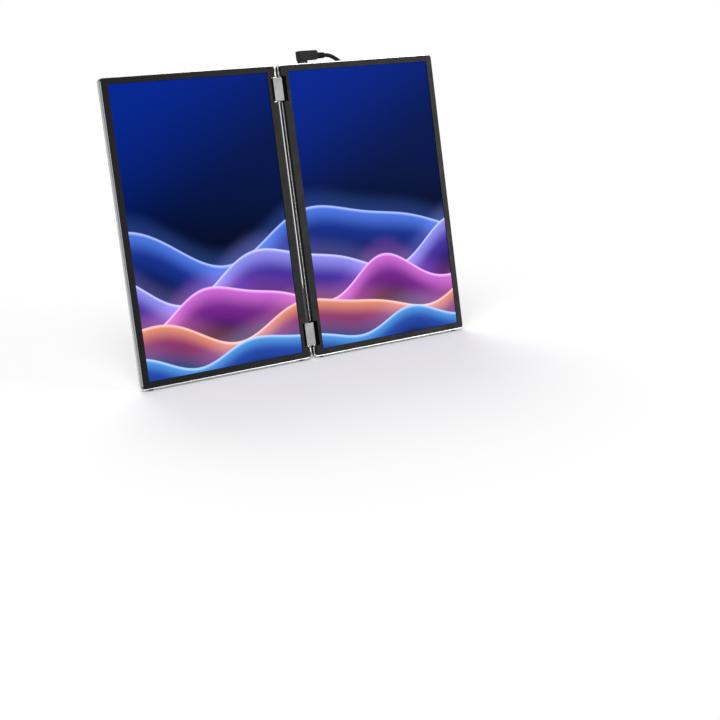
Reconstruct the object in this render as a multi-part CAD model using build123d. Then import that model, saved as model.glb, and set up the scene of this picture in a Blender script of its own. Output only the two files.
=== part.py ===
"""Dual-screen portable monitor: two hinged display panels standing on a kickstand.

Millimetres, +Z up.  Every piece is drawn with the panels upright and flat: X runs right,
Y runs back and Z runs up the hinge, with the two hinge shafts at Y = 0.  The whole is then
leaned back, so that the feet and the stand rest on Z = 0 below the middle of the part.
"""
from build123d import *
import math
import os

# Display panels
screen_diagonal = 355.6
screen_aspect = 1.6
border_outer = 8.0
border_hinge = 10.0
border_end = 6.7
bezel_corner = 3.5
window_corner = 0.6
window_reveal = 0.4
panel_thickness = 9.0
bezel_plate = 0.6
bezel_skirt = 0.9
bezel_edge_round = 0.45
bezel_stand = 2.6
bezel_tuck = 0.3
cover_rim = 1.0
cover_hinge_rim = 2.35
cover_wall = 0.9
cover_floor = 1.0
cover_corner = 4.5
cover_back_round = 3.9
screen_thickness = 1.2
screen_overlap = 2.6
backplate_thickness = 0.6
backplate_inset = 1.5
stack_gap = 0.02
seat_gap = 0.05
overrun = 1.0

# Dual-shaft hinge
closed_gap = 0.6
shaft_depth = 3.7
edge_inset = 0.05
hinge_from_end = 25.6
hinge_cover_length = 24.6
hinge_cover_thickness = 3.6
hinge_cover_round = 0.5
hinge_nub_width = 4.4
hinge_nub_length = 0.9
hinge_nub_thickness = 1.8
notch_length = 27.0
notch_depth = 5.7
pocket_wall = 0.8
pocket_lip = 0.3
pocket_gap = 0.35
shaft_radius = 1.0
bush_wall = 0.22
bush_gap = 0.02
shaft_gap = 0.03
collar_radius = 1.45
collar_length = 0.9
collar_gap = 0.15
tenon_radius = 0.7
tenon_gap = 0.02
tenon_length = 4.4
ear_length = 4.6
ear_reach = 4.6
ear_half_height = 1.5
ear_skin = 0.35
flange_length = 17.0
flange_thickness = 0.8
flange_seat_depth = 2.4
bracket_screw_inset = 4.0
bracket_screw_pitch = 9.0
boss_radius = 1.9
screw_radius = 0.8
screw_head_radius = 1.5
screw_head_height = 0.55
screw_bite = 1.2
screw_gap = 0.05

# Kickstand
stand_pivot_height = 165.0
stand_left = 29.0
stand_width = 104.0
stand_thickness = 1.8
stand_corner = 9.0
stand_gap = 0.5
stand_barrel_radius = 1.4
stand_barrel_flush = 0.1
stand_pin_radius = 0.75
stand_pin_gap = 0.04
stand_knuckle_length = 12.0
stand_leaf_knuckle_length = 7.0
stand_knuckle_gap = 0.3
stand_knuckle_inset = 10.0
stand_leaf_thickness = 0.6
stand_leaf_drop = 5.0
stand_web = 1.0
stand_foot_height = 4.0
stand_foot_inset = 10.0
stand_foot_short = 0.3
trough_gap = 0.35
trough_floor = 0.8
stand_stop_open = 90.0

# Feet
foot_length = 4.0
foot_width = 3.2
foot_proud = 1.3
foot_inset = 11.5
foot_set_back = 1.2

# Lean of the panels at rest, degrees
lean = 12.16

# Ports, boards and buttons
port_depth = 0.4
usb_port_from_shaft = 32.7
usb_shell_width = 8.94
usb_shell_height = 3.16
usb_shell_depth = 8.4
usb_shell_wall = 0.25
usb_tongue_width = 6.6
usb_tongue_height = 0.7
usb_tongue_reach = 6.0
usb_back_wall = 1.4
port_gap = 0.1
hdmi_width = 11.2
hdmi_height = 3.2
hdmi_depth = 7.6
hdmi_shell_wall = 0.3
hdmi_chamfer = 0.9
hdmi_tongue_width = 8.2
hdmi_tongue_height = 0.8
hdmi_tongue_reach = 5.0
menu_button_from_top = 41.0
side_usb_below_menu = 24.0
side_hdmi_below_usb = 23.0
power_button_from_shaft = 110.0
button_width = 3.8
button_thickness = 2.4
button_proud = 0.9
button_travel = 0.35
button_gap = 0.12
button_stem_length = 2.6
button_flange = 0.8
button_flange_thickness = 0.5
button_flange_gap = 0.12
switch_size = 3.4
switch_height = 1.5
switch_gap = 0.1
board_thickness = 0.8
board_to_wall = 1.2
board_corner = 1.5
main_board_left = 27.0
main_board_width = 114.0
main_board_above_tripod = 22.9
side_board_width = 16.0
side_board_margin = 12.5
shield_inset = 26.0
shield_height = 1.4
shield_wall = 0.3
board_screw_inset = 3.2
driver_board_width = 92.0
driver_board_height = 22.0
driver_board_bottom = 60.0
flex_width = 30.0
flex_thickness = 0.2
flex_length = 24.0

# Tripod socket, quarter inch camera thread
tripod_radius = 2.6
tripod_length = 5.6
tripod_insert_radius = 4.6
tripod_flange_radius = 5.6
tripod_flange_thickness = 0.6
tripod_from_shaft = 104.0
tripod_above_pivot = 31.0
tripod_boss_wall = 1.2
tripod_gap = 0.03
tripod_base = 0.5

# Lead with a right-angled plug at the monitor and a straight one at its far end
lead_diameter = 4.4
plug_overhang = 5.9
plug_length = 25.6
plug_height = 10.2
plug_thickness = 6.8
plug_chamfer = 1.8
plug_edge_round = 0.7
plug_neck_width = 9.5
plug_neck_thickness = 6.0
plug_neck_height = 2.9
plug_neck_gap = 0.3
plug_tip_width = 8.25
plug_tip_height = 2.4
plug_tip_length = 6.5
plug_tip_wall = 0.3
plug_tip_seat = 1.0
plug_axis_share = 0.42
relief_radius = 3.4
relief_tip_radius = 3.2
relief_length = 8.6
relief_groove = 0.35
relief_groove_width = 0.9
relief_grooves = 2
far_plug_length = 18.0
far_plug_width = 10.4
far_plug_thickness = 6.4
far_plug_round = 1.6
far_relief_radius = 2.9
far_relief_tip_radius = 2.75
far_relief_length = 8.0

# Route of the lead in the finished part's frame, from its second bend down to the coil
lead_first_run = 6.0
lead_route = [
    (80.0, 35.6, 315.5),
    (92.0, 40.0, 309.6),
    (105.0, 43.2, 299.0),
    (118.0, 44.1, 282.0),
    (130.0, 44.4, 261.0),
    (143.5, 44.5, 235.0),
    (159.0, 44.2, 203.0),
    (176.5, 43.4, 161.0),
    (192.0, 42.4, 117.0),
    (201.5, 41.3, 80.0),
    (206.0, 40.0, 51.0),
    (207.3, 38.5, 28.5),
    (200.1, 37.7, 16.0),
]
lead_bend_share = 0.45
lead_last_run = 13.2

# Coil of the length that is put away, on the floor behind the right panel
coil_centre = (170.0, 8.0)
coil_radius = 29.0
coil_pitch = 5.8
coil_layer_step = 5.6
coil_half_turns = 3
coil_tail = 8.0
tie_width = 10.0
tie_thickness = 0.8
tie_gap = 0.35
tie_corner = 2.0

# Worked out from the driving dimensions
screen_width = screen_diagonal / math.sqrt(1 + screen_aspect ** 2)
screen_height = screen_width * screen_aspect
shaft_x = shaft_depth + closed_gap / 2
bezel_x0 = shaft_x - edge_inset
bezel_x1 = bezel_x0 + border_hinge + screen_width + border_outer
cover_x0 = bezel_x0 - cover_hinge_rim
hinge_wall = cover_wall + cover_hinge_rim - cover_rim
cover_x1 = bezel_x1 + cover_rim
bezel_z0 = cover_rim
bezel_z1 = bezel_z0 + screen_height + 2 * border_end
cover_z1 = bezel_z1 + cover_rim
front = -shaft_depth
back = front + panel_thickness
cover_front = front + bezel_stand
inside_back = back - cover_floor
screen_x0 = bezel_x0 + border_hinge
screen_x1 = screen_x0 + screen_width
screen_z0 = bezel_z0 + border_end
screen_z1 = screen_z0 + screen_height
screen_front = front + bezel_plate + stack_gap
screen_back = screen_front + screen_thickness
backplate_back = screen_back + stack_gap + backplate_thickness
notch_x = shaft_x + notch_depth
pocket_floor = math.sqrt(2) * hinge_cover_thickness / 2 + pocket_gap
hinge_heights = (hinge_from_end, cover_z1 - hinge_from_end)
port_y = cover_front + port_depth + usb_shell_height / 2


def slab(x0, x1, z0, z1, y0, y1, radius=0):
    """Plate standing in XZ, from y0 at its front to y1 at its back."""
    width = x1 - x0
    height = z1 - z0
    outline = RectangleRounded(width, height, radius) if radius else Rectangle(width, height)
    face = Plane(((x0 + x1) / 2, y1, (z0 + z1) / 2), x_dir=(1, 0, 0), z_dir=(0, -1, 0))
    return extrude(face * outline, y1 - y0)


def rod(x, y, z0, z1, radius):
    """Round bar along Z."""
    return Pos(x, y, (z0 + z1) / 2) * Cylinder(radius, z1 - z0)


def bar(x0, x1, y, z, radius):
    """Round bar along X."""
    return Pos((x0 + x1) / 2, y, z) * Rot(Y=90) * Cylinder(radius, x1 - x0)


def stud(x, z, y0, y1, radius):
    """Round bar along Y."""
    return Pos(x, (y0 + y1) / 2, z) * Rot(X=90) * Cylinder(radius, y1 - y0)


def group(shapes):
    """One node made of separate solids."""
    solids = [solid for shape in shapes for solid in shape.solids()]
    return Compound(solids)


def left_hand(shape):
    """The same piece on the other panel."""
    return mirror(shape, Plane.YZ)


def outward(height):
    """Which way the nearer panel end lies from a hinge: -1 down, +1 up."""
    return -1 if height < cover_z1 / 2 else 1


def span(height, near, far):
    """Two distances from a hinge's middle towards its panel end, as sorted heights."""
    way = outward(height)
    return sorted((height + way * near, height + way * far))


# Where the hinge bracket sits, from the middle of its hinge towards the panel end
pocket_end = notch_length / 2 + pocket_wall
ear_start = pocket_end + seat_gap
ear_end = ear_start + ear_length
ear_x0 = cover_x0 + ear_skin
ear_x1 = shaft_x + ear_reach
flange_x1 = ear_x1 + flange_length
flange_y0 = flange_seat_depth
flange_y1 = flange_y0 + flange_thickness
bracket_screws = (ear_x1 + bracket_screw_inset, ear_x1 + bracket_screw_inset + bracket_screw_pitch)


def cover_outer():
    body = slab(cover_x0, cover_x1, 0, cover_z1, cover_front, back, cover_corner)
    return fillet(body.faces().sort_by(Axis.Y)[-1].edges(), cover_back_round)


def hinge_cut(height, x1, half, y0, y1):
    """Block that opens a panel's hinge edge around one hinge."""
    return slab(cover_x0 - overrun, x1, height - half, height + half, y0, y1)


def ear_block(height, gap, y0, y1):
    low, high = span(height, ear_start, ear_end)
    return slab(ear_x0 - gap, ear_x1 + gap, low - gap, high + gap, y0, y1)


def rear_cover():
    """Shell behind a panel, with hinge notches and the bosses that carry the hinge brackets."""
    inner = slab(
        cover_x0 + hinge_wall, cover_x1 - cover_wall, cover_wall, cover_z1 - cover_wall,
        cover_front - overrun, inside_back, cover_corner - cover_wall,
    )
    inner_round = cover_back_round - cover_floor
    inner = fillet(inner.faces().sort_by(Axis.Y)[-1].edges(), inner_round)
    shell = cover_outer() - inner
    for height in hinge_heights:
        shell -= hinge_cut(height, notch_x + pocket_wall, pocket_end, cover_front - overrun, back + overrun)
        shell -= ear_block(height, seat_gap, cover_front - overrun, ear_half_height + seat_gap)
        low, high = span(height, ear_start, ear_end)
        for x in bracket_screws:
            boss = stud(x, (low + high) / 2, flange_y1, inside_back, boss_radius)
            shell += boss
            hole_end = flange_y1 + screw_bite + screw_gap
            shell -= stud(x, (low + high) / 2, flange_y1 - overrun, hole_end, screw_radius)
    return shell


def hinge_pockets():
    """Black liners of the two hinge notches of one panel, closed behind the hinge cover's turning circle."""
    pockets = []
    shape = cover_outer() + slab(bezel_x0, bezel_x1, bezel_z0, bezel_z1, front + bezel_plate, cover_front)
    for height in hinge_heights:
        liner_x1 = notch_x + pocket_wall - seat_gap
        liner = hinge_cut(height, liner_x1, pocket_end - seat_gap, front + bezel_plate, back)
        liner -= hinge_cut(height, notch_x, notch_length / 2, front - overrun, pocket_floor)
        liner -= hinge_cut(height, shaft_x + pocket_lip, notch_length / 2, front - overrun, back + overrun)
        low, high = span(height, 0, ear_end)
        liner -= rod(shaft_x, 0, low, high, tenon_radius + shaft_gap)
        pockets.append(liner & shape)
    return group(pockets)


def bezel():
    """Front frame: a thin face with a skirt that tucks into the rear cover."""
    skirt_back = cover_front + bezel_tuck
    frame = slab(bezel_x0, bezel_x1, bezel_z0, bezel_z1, front, skirt_back, bezel_corner)
    frame = fillet(frame.faces().sort_by(Axis.Y)[0].edges(), bezel_edge_round)
    frame -= slab(
        bezel_x0 + bezel_skirt, bezel_x1 - bezel_skirt, bezel_z0 + bezel_skirt, bezel_z1 - bezel_skirt,
        front + bezel_plate, skirt_back + overrun, bezel_corner - bezel_skirt,
    )
    frame -= slab(
        screen_x0 - window_reveal, screen_x1 + window_reveal,
        screen_z0 - window_reveal, screen_z1 + window_reveal,
        front - overrun, front + bezel_plate + overrun, window_corner,
    )
    for height in hinge_heights:
        frame -= hinge_cut(height, notch_x, notch_length / 2, front - overrun, skirt_back + overrun)
        frame -= hinge_cut(
            height, notch_x + pocket_wall, pocket_end, front + bezel_plate, skirt_back + overrun,
        )
        frame -= ear_block(height, seat_gap, -ear_half_height - seat_gap, skirt_back + overrun)
    return frame


def screen():
    return slab(
        screen_x0 - screen_overlap, screen_x1 + screen_overlap,
        screen_z0 - screen_overlap, screen_z1 + screen_overlap, screen_front, screen_back,
    )


def backplate():
    edge = screen_overlap - backplate_inset
    return slab(
        screen_x0 - edge, screen_x1 + edge, screen_z0 - edge, screen_z1 + edge,
        screen_back + stack_gap, backplate_back,
    )


def hinge_brackets():
    """Steel brackets: an ear that holds the shaft and a flange screwed to the cover."""
    brackets = []
    for height in hinge_heights:
        low, high = span(height, ear_start, ear_end)
        bracket = ear_block(height, 0, -ear_half_height, ear_half_height)
        bracket += slab(ear_x1 - flange_thickness, ear_x1, low, high, 0, flange_y1)
        bracket += slab(ear_x1 - flange_thickness, flange_x1, low, high, flange_y0, flange_y1)
        bracket -= rod(shaft_x, 0, low - overrun, high + overrun, tenon_radius + tenon_gap)
        for x in bracket_screws:
            middle = (low + high) / 2
            bracket -= stud(x, middle, flange_y0 - overrun, flange_y1 + overrun, screw_radius + screw_gap)
        brackets.append(bracket)
    return group(brackets)


def screw(x, z, face):
    """Pan-head screw driven towards the back, with its head on the given face."""
    head = stud(x, z, face - screw_head_height, face, screw_head_radius)
    head = fillet(head.faces().sort_by(Axis.Y)[0].edges(), screw_head_height / 2)
    return head


def bracket_screw_set():
    screws = []
    for height in hinge_heights:
        low, high = span(height, ear_start, ear_end)
        for x in bracket_screws:
            z = (low + high) / 2
            shank = stud(x, z, flange_y0, flange_y1 + screw_bite, screw_radius - screw_gap)
            screws.append(screw(x, z, flange_y0) + shank)
    return group(screws)


# Along one shaft, from the middle of its hinge towards the panel end
cover_half = hinge_cover_length / 2
collar_start = cover_half + collar_gap
collar_end = collar_start + collar_length
shaft_tail = cover_half - pocket_wall
bore_radius = shaft_radius + shaft_gap + bush_wall + bush_gap


def hinge_shafts():
    """Friction shafts: journal in the hinge cover, collar, and a tenon in the bracket."""
    shafts = []
    for height in hinge_heights:
        low, high = span(height, -shaft_tail, collar_start)
        shaft = rod(shaft_x, 0, low, high, shaft_radius)
        low, high = span(height, collar_start, collar_end)
        shaft += rod(shaft_x, 0, low, high, collar_radius)
        low, high = span(height, collar_end, ear_start + tenon_length)
        shaft += rod(shaft_x, 0, low, high, tenon_radius)
        shafts.append(shaft)
    return group(shafts)


def hinge_cover(height):
    """Link between the panels: a flat block with a bore for each shaft."""
    outline = RectangleRounded(2 * shaft_x + hinge_cover_thickness, hinge_cover_thickness, hinge_cover_round)
    block = extrude(Pos(0, 0, height - cover_half) * outline, hinge_cover_length)
    block = fillet(block.faces().filter_by(Axis.Z).edges(), hinge_cover_round / 2)
    low, high = span(height, -shaft_tail - shaft_gap, cover_half + overrun)
    for x in (-shaft_x, shaft_x):
        block -= rod(x, 0, low, high, bore_radius)
    return block


def hinge_nub(height):
    """Small round-cornered lip in the middle of a hinge cover's lower end."""
    half = hinge_nub_width / 2
    top = height - cover_half + hinge_cover_round
    face = -hinge_cover_thickness / 2 + hinge_cover_round
    return slab(
        -half, half, height - cover_half - hinge_nub_length, top,
        face, face + hinge_nub_thickness, hinge_nub_length / 2,
    )


def friction_bushes():
    """Split-sleeve bushes that grip the shafts inside the hinge covers."""
    bushes = []
    for height in hinge_heights:
        low, high = span(height, -shaft_tail, cover_half - seat_gap)
        for x in (-shaft_x, shaft_x):
            bush = rod(x, 0, low, high, bore_radius - bush_gap)
            bush -= rod(x, 0, low - overrun, high + overrun, shaft_radius + shaft_gap)
            bushes.append(bush)
    return group(bushes)


# Kickstand layout with the stand shut, in the panel frame
stand_right = stand_left + stand_width
pivot_y = back - stand_barrel_flush - stand_barrel_radius
pivot_z = stand_pivot_height
stand_outer = back - stand_barrel_flush
stand_inner = stand_outer - stand_thickness
recess_floor = stand_inner - stand_gap / 2
stand_length = pivot_z + foot_proud - stand_foot_short
stand_tip = pivot_z - stand_length
knuckle_places = (stand_left + stand_knuckle_inset, stand_right - stand_knuckle_inset - stand_knuckle_length)
trough_top = pivot_z + stand_barrel_radius + trough_gap
trough_seat = pivot_y - stand_barrel_radius - trough_gap - stand_leaf_thickness
knuckle_step = stand_knuckle_length + stand_knuckle_gap


def stand_recess():
    """Space in the right rear cover for the shut stand and its hinge."""
    x0 = stand_left - stand_gap
    x1 = stand_right + stand_gap
    pocket = slab(x0, x1, -overrun, pivot_z, recess_floor, back + overrun)
    trough = slab(x0, x1, pivot_z - stand_leaf_drop, trough_top, trough_seat, back + overrun)
    return pocket + trough


def stand_recess_walls():
    """Raised floor and trough behind the stand, inside the right rear cover."""
    x0 = stand_left - stand_gap - cover_wall
    x1 = stand_right + stand_gap + cover_wall
    floor = slab(x0, x1, 0, pivot_z, recess_floor - cover_floor, back)
    trough = slab(
        x0, x1, pivot_z - stand_leaf_drop - cover_wall, trough_top + cover_wall,
        trough_seat - trough_floor, back,
    )
    return (floor + trough) & cover_outer()


def kickstand():
    """Plate with rolled knuckles along its top edge."""
    plate_bottom = stand_tip + stand_foot_height
    plate_top = pivot_z - stand_barrel_radius - stand_knuckle_gap
    plate = slab(stand_left, stand_right, plate_bottom, plate_top, stand_inner, stand_outer)
    plate = fillet(plate.edges().filter_by(Axis.Y), stand_corner)
    for start in knuckle_places:
        end = start + stand_knuckle_length
        plate += slab(start, end, plate_top - stand_leaf_drop, pivot_z, stand_outer - stand_web, stand_outer)
        plate += bar(start, end, pivot_y, pivot_z, stand_barrel_radius)
        plate -= bar(start - overrun, end + overrun, pivot_y, pivot_z, stand_pin_radius + stand_pin_gap)
    return plate


def kickstand_foot():
    """Rubber strip along the bottom of the stand, long enough for a level sole."""
    return slab(
        stand_left + stand_foot_inset, stand_right - stand_foot_inset, stand_tip - stand_thickness,
        stand_tip + stand_foot_height, stand_inner, stand_outer,
    )


def kickstand_leaves():
    """Fixed hinge leaves in the trough, one for each moving knuckle."""
    leaves = []
    for start in knuckle_places:
        lefts = (start - stand_knuckle_gap - stand_leaf_knuckle_length, start + knuckle_step)
        right = lefts[-1] + stand_leaf_knuckle_length
        leaf = slab(
            lefts[0], right, pivot_z - stand_leaf_drop + seat_gap, trough_top - seat_gap,
            trough_seat, trough_seat + stand_leaf_thickness,
        )
        for x in lefts:
            end = x + stand_leaf_knuckle_length
            leaf += slab(
                x, end, pivot_z - stand_barrel_radius, pivot_z + stand_barrel_radius, trough_seat, pivot_y,
            )
            leaf += bar(x, end, pivot_y, pivot_z, stand_barrel_radius)
        leaf -= bar(lefts[0] - overrun, right + overrun, pivot_y, pivot_z, stand_pin_radius + tenon_gap)
        leaves.append(leaf)
    return group(leaves)


def kickstand_pins():
    pins = []
    for start in knuckle_places:
        x0 = start - stand_knuckle_gap - stand_leaf_knuckle_length
        x1 = start + knuckle_step + stand_leaf_knuckle_length
        pins.append(bar(x0, x1, pivot_y, pivot_z, stand_pin_radius))
    return group(pins)


# Boards stand behind the ports, which are soldered to their fronts
board_front = port_y + usb_shell_height / 2 + seat_gap
board_back = board_front + board_thickness
main_board_top = cover_z1 - cover_wall - board_to_wall
main_board_bottom = stand_pivot_height + tripod_above_pivot + main_board_above_tripod
main_board_right = main_board_left + main_board_width
side_board_right = cover_x1 - cover_wall - board_to_wall
side_board_left = side_board_right - side_board_width
menu_button_height = cover_z1 - menu_button_from_top
side_usb_height = menu_button_height - side_usb_below_menu
side_hdmi_height = side_usb_height - side_hdmi_below_usb
side_board_top = menu_button_height + side_board_margin
side_board_bottom = side_hdmi_height - side_board_margin
usb_x = shaft_x + usb_port_from_shaft
power_x = shaft_x + power_button_from_shaft
top_edge = Pos(0, port_y, cover_z1)
side_edge = Pos(cover_x1, port_y, 0) * Rot(Y=90)
usb_sites = (Pos(usb_x, 0, 0), Pos(-side_usb_height, 0, 0))


def board_corners(x0, x1, z0, z1):
    """Screw places near the four corners of a board."""
    for x in (x0 + board_screw_inset, x1 - board_screw_inset):
        for z in (z0 + board_screw_inset, z1 - board_screw_inset):
            yield x, z


main_screws = list(board_corners(main_board_left, main_board_right, main_board_bottom, main_board_top))
side_screws = list(board_corners(side_board_left, side_board_right, side_board_bottom, side_board_top))
driver_x0 = (cover_x0 + cover_x1 - driver_board_width) / 2
driver_x1 = driver_x0 + driver_board_width
driver_top = driver_board_bottom + driver_board_height
driver_screws = list(board_corners(driver_x0, driver_x1, driver_board_bottom, driver_top))


def circuit_board(x0, x1, z0, z1, screws):
    board = slab(x0, x1, z0, z1, board_front, board_back, board_corner)
    for x, z in screws:
        board -= stud(x, z, board_front - overrun, board_back + overrun, screw_radius + screw_gap)
    return board


def board_screw_set(places):
    screws = []
    for x, z in places:
        shank = stud(x, z, board_front, board_back + screw_bite, screw_radius - screw_gap)
        screws.append(screw(x, z, board_front) + shank)
    return group(screws)


def board_bosses(cover, places):
    """Posts inside a rear cover, drilled for the board screws."""
    for x, z in places:
        cover += stud(x, z, board_back, inside_back + seat_gap, boss_radius)
        cover -= stud(x, z, board_back - overrun, board_back + screw_bite + screw_gap, screw_radius)
    return cover


def usb_outline(width, height):
    return SlotOverall(width, height)


def port_block(outline, depth):
    """Solid reaching inwards from the panel's edge, drawn with +Z pointing out of the edge."""
    return extrude(Pos(0, 0, -depth) * outline, depth)


def usb_socket():
    shell = port_block(usb_outline(usb_shell_width, usb_shell_height), usb_shell_depth)
    bore = usb_outline(usb_shell_width - 2 * usb_shell_wall, usb_shell_height - 2 * usb_shell_wall)
    shell -= extrude(Pos(0, 0, usb_back_wall - usb_shell_depth) * bore, usb_shell_depth)
    tongue = Rectangle(usb_tongue_width, usb_tongue_height)
    shell += extrude(Pos(0, 0, usb_back_wall - usb_shell_depth) * tongue, usb_tongue_reach)
    return shell


def hdmi_outline(width, height, corner):
    outline = Rectangle(width, height)
    lower = outline.vertices().group_by(Axis.Y)[0]
    return chamfer(lower, corner)


def hdmi_socket():
    shell = port_block(hdmi_outline(hdmi_width, hdmi_height, hdmi_chamfer), hdmi_depth)
    inner = hdmi_outline(hdmi_width - 2 * hdmi_shell_wall, hdmi_height - 2 * hdmi_shell_wall, hdmi_chamfer)
    shell -= extrude(Pos(0, 0, usb_back_wall - hdmi_depth) * inner, hdmi_depth)
    tongue = Rectangle(hdmi_tongue_width, hdmi_tongue_height)
    shell += extrude(Pos(0, 0, usb_back_wall - hdmi_depth) * tongue, hdmi_tongue_reach)
    return shell


button_inner = -cover_wall - button_flange_gap
button_flange_end = button_inner - button_flange_thickness
button_stem_end = button_flange_end - button_stem_length
switch_top = button_stem_end - button_travel - switch_gap


def button():
    """Cap through the wall, flange behind it and a stem that reaches its switch."""
    outline = SlotOverall(button_width, button_thickness)
    cap = extrude(Pos(0, 0, button_inner) * outline, button_proud - button_inner)
    cap = fillet(cap.faces().sort_by(Axis.Z)[-1].edges(), button_gap * 2)
    grown = SlotOverall(button_width + 2 * button_flange, button_thickness)
    cap += extrude(Pos(0, 0, button_flange_end) * grown, button_flange_thickness)
    stem = Circle(button_thickness / 2 - button_gap)
    cap += extrude(Pos(0, 0, button_stem_end) * stem, button_stem_length)
    return cap


def button_hole():
    hole = SlotOverall(button_width + 2 * button_gap, button_thickness + 2 * button_gap)
    return extrude(Pos(0, 0, button_inner - overrun) * hole, overrun - button_inner + overrun)


def tact_switch():
    """Switch soldered to the front of its board, under a button's stem."""
    depth = board_front - port_y + switch_size / 2
    middle = Pos(0, board_front - port_y - depth / 2, switch_top - switch_height / 2)
    return middle * Box(switch_size, depth, switch_height)


power_site = top_edge * Pos(power_x, 0, 0)
menu_site = side_edge * Pos(-menu_button_height, 0, 0)
hdmi_site = side_edge * Pos(-side_hdmi_height, 0, 0)
usb_top_site = top_edge * usb_sites[0]
usb_side_site = side_edge * usb_sites[1]

# Tripod socket on the back of the right panel
tripod_x = shaft_x + tripod_from_shaft
tripod_z = stand_pivot_height + tripod_above_pivot
tripod_y0 = back - tripod_length - tripod_base


def tripod_insert():
    body = stud(tripod_x, tripod_z, tripod_y0, back, tripod_insert_radius)
    body += stud(tripod_x, tripod_z, tripod_y0, tripod_y0 + tripod_flange_thickness, tripod_flange_radius)
    return body - stud(tripod_x, tripod_z, back - tripod_length, back + overrun, tripod_radius)


def main_cover():
    """Rear cover of the right panel, with the stand's recess, ports, buttons and tripod boss."""
    cover = rear_cover() + stand_recess_walls() - stand_recess()
    cover = board_bosses(cover, main_screws + side_screws)
    boss_start = tripod_y0 + tripod_flange_thickness
    boss = tripod_insert_radius + tripod_boss_wall
    cover += stud(tripod_x, tripod_z, boss_start, inside_back + seat_gap, boss)
    bore = tripod_insert_radius + tripod_gap
    cover -= stud(tripod_x, tripod_z, boss_start - overrun, back + overrun, bore)
    usb_cut = usb_outline(usb_shell_width + 2 * port_gap, usb_shell_height + 2 * port_gap)
    hdmi_cut = hdmi_outline(hdmi_width + 2 * port_gap, hdmi_height + 2 * port_gap, hdmi_chamfer)
    for site in (usb_top_site, usb_side_site):
        cover -= site * extrude(Pos(0, 0, -cover_wall - overrun) * usb_cut, cover_wall + 2 * overrun)
    cover -= hdmi_site * extrude(Pos(0, 0, -cover_wall - overrun) * hdmi_cut, cover_wall + 2 * overrun)
    for site in (power_site, menu_site):
        cover -= site * button_hole()
    return cover


def main_board():
    return circuit_board(main_board_left, main_board_right, main_board_bottom, main_board_top, main_screws)


def side_board():
    return circuit_board(side_board_left, side_board_right, side_board_bottom, side_board_top, side_screws)


def driver_board():
    return circuit_board(driver_x0, driver_x1, driver_board_bottom, driver_top, driver_screws)


def board_shield():
    """Screening can over the scaler chip, on the front of the main board."""
    x0 = main_board_left + shield_inset
    x1 = main_board_right - shield_inset
    z0 = main_board_bottom + shield_inset
    z1 = main_board_top - shield_inset
    can = slab(x0, x1, z0, z1, board_front - shield_height, board_front, board_corner)
    return can - slab(
        x0 + shield_wall, x1 - shield_wall, z0 + shield_wall, z1 - shield_wall,
        board_front - shield_height + shield_wall, board_front + overrun,
    )


def display_flex(z0):
    """Flat ribbon on the backplate, from the screen's driver edge to its board."""
    middle = (screen_x0 + screen_x1) / 2
    y0 = backplate_back + stack_gap
    half = flex_width / 2
    return slab(middle - half, middle + half, z0, z0 + flex_length, y0, y0 + flex_thickness)


foot_y = cover_front + foot_set_back + foot_width / 2
foot_places = (cover_x0 + foot_inset, cover_x1 - foot_inset)


def edge_feet():
    """Rubber nubs under the bottom edge, long enough for a level sole."""
    feet = []
    for x in foot_places:
        feet.append(slab(
            x - foot_length / 2, x + foot_length / 2, -foot_proud - foot_width / 2, 0,
            foot_y - foot_width / 2, foot_y + foot_width / 2,
        ))
    return group(feet)


# Rest position: the stand is open just far enough to meet the floor
lean_angle = math.radians(lean)
floor_level = -foot_proud * math.cos(lean_angle) - foot_y * math.sin(lean_angle)
pivot_rise = pivot_z * math.cos(lean_angle) - pivot_y * math.sin(lean_angle) - floor_level
tip_offset = (stand_inner + stand_outer) / 2 - pivot_y
tip_reach = math.hypot(stand_length, tip_offset)
stand_slope = math.acos(pivot_rise / tip_reach) - math.atan2(tip_offset, stand_length)
stand_open = lean + math.degrees(stand_slope)
open_stand = Pos(0, pivot_y, pivot_z) * Rot(X=stand_open) * Pos(0, -pivot_y, -pivot_z)


def main_panel():
    """Pieces of the right panel, which carries the boards, the ports and the stand."""
    return {
        "right_rear_cover": main_cover(),
        "right_bezel": bezel(),
        "right_screen": screen(),
        "right_screen_backplate": backplate(),
        "right_hinge_pockets": hinge_pockets(),
        "right_hinge_brackets": hinge_brackets(),
        "right_hinge_shafts": hinge_shafts(),
        "right_bracket_screws": bracket_screw_set(),
        "right_edge_feet": edge_feet(),
        "right_display_flex": display_flex(main_board_bottom),
        "main_board": main_board(),
        "main_board_shield": board_shield(),
        "side_board": side_board(),
        "board_screws": board_screw_set(main_screws + side_screws),
        "usb_c_sockets": group([usb_top_site * usb_socket(), usb_side_site * usb_socket()]),
        "mini_hdmi_socket": hdmi_site * hdmi_socket(),
        "button_switches": group([power_site * tact_switch(), menu_site * tact_switch()]),
        "power_button": power_site * button(),
        "menu_button": menu_site * button(),
        "tripod_insert": tripod_insert(),
        "kickstand_hinge_leaves": kickstand_leaves(),
        "kickstand_pins": kickstand_pins(),
        "kickstand_plate": open_stand * kickstand(),
        "kickstand_foot": open_stand * kickstand_foot(),
    }


def second_panel():
    """Pieces of the left panel, a mirror image with a driver board and a plain back."""
    pieces = {
        "left_rear_cover": board_bosses(rear_cover(), driver_screws),
        "left_bezel": bezel(),
        "left_screen": screen(),
        "left_screen_backplate": backplate(),
        "left_hinge_pockets": hinge_pockets(),
        "left_hinge_brackets": hinge_brackets(),
        "left_hinge_shafts": hinge_shafts(),
        "left_bracket_screws": bracket_screw_set(),
        "left_edge_feet": edge_feet(),
        "left_display_flex": display_flex(driver_board_bottom),
        "driver_board": driver_board(),
        "driver_board_screws": board_screw_set(driver_screws),
    }
    return {name: left_hand(piece) for name, piece in pieces.items()}


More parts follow.
